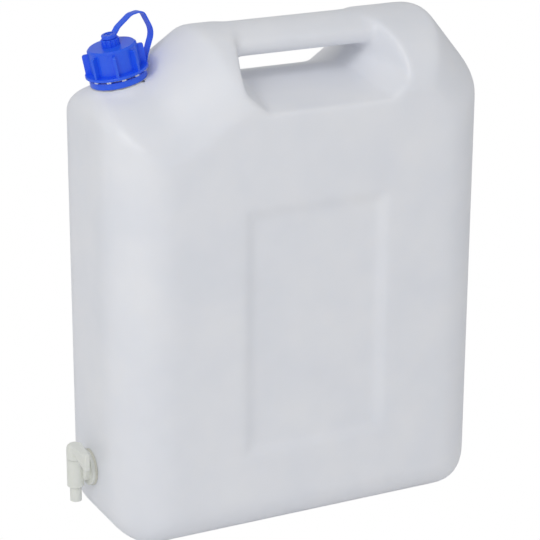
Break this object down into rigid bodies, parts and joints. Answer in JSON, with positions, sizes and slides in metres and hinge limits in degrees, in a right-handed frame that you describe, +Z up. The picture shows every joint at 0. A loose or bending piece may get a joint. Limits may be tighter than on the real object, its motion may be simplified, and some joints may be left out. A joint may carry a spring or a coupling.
{
  "type": "water container with tap",
  "caption": "Rectangular blow-moulded water canister with carrying handle, tethered screw cap on a tilted neck, recessed side panels and a lever tap near the base.",
  "frame": {"origin": "middle of the container's flat base", "axes": "+Z up, broad faces along -Y and +Y, neck and tap towards -X"},
  "size_m": [0.3835, 0.158, 0.4665],
  "materials": {
    "natural_polyethylene": "satin blow-moulded natural polyethylene",
    "blue_polyethylene": "semi-gloss moulded blue polyethylene",
    "tap_plastic": "semi-gloss moulded off-white polypropylene",
    "seal_rubber": "matt rubber"
  },
  "bodies": {
    "container": {"container": "natural_polyethylene", "tap_body": "tap_plastic", "tap_washer": "seal_rubber"},
    "tether": {"tether": "blue_polyethylene"},
    "cap": {"screw_cap": "blue_polyethylene", "cap_gasket": "seal_rubber"},
    "lever": {"tap_lever": "tap_plastic", "plug_o_ring": "seal_rubber"}
  },
  "joints": [
    {"name": "cap_lift", "type": "slide", "parent": "container", "child": "tether", "axis": [-0.2096, 0, 0.9778], "range_m": [0, 0.008], "deforming": ["tether"]},
    {"name": "cap_turn", "type": "hinge", "parent": "tether", "child": "cap", "pos_m": [-0.1466, 0, 0.4095], "axis": [-0.2096, 0, 0.9778], "range_deg": [0, 720]},
    {"name": "lever_turn", "type": "hinge", "parent": "container", "child": "lever", "pos_m": [-0.196, 0, 0.0793], "axis": [0, 0, 1], "range_deg": [-90, 0]}
  ],
  "couplings": [
    {"joint": "cap_lift", "follows": "cap_turn", "m_per_rad": 0.0006366}
  ]
}
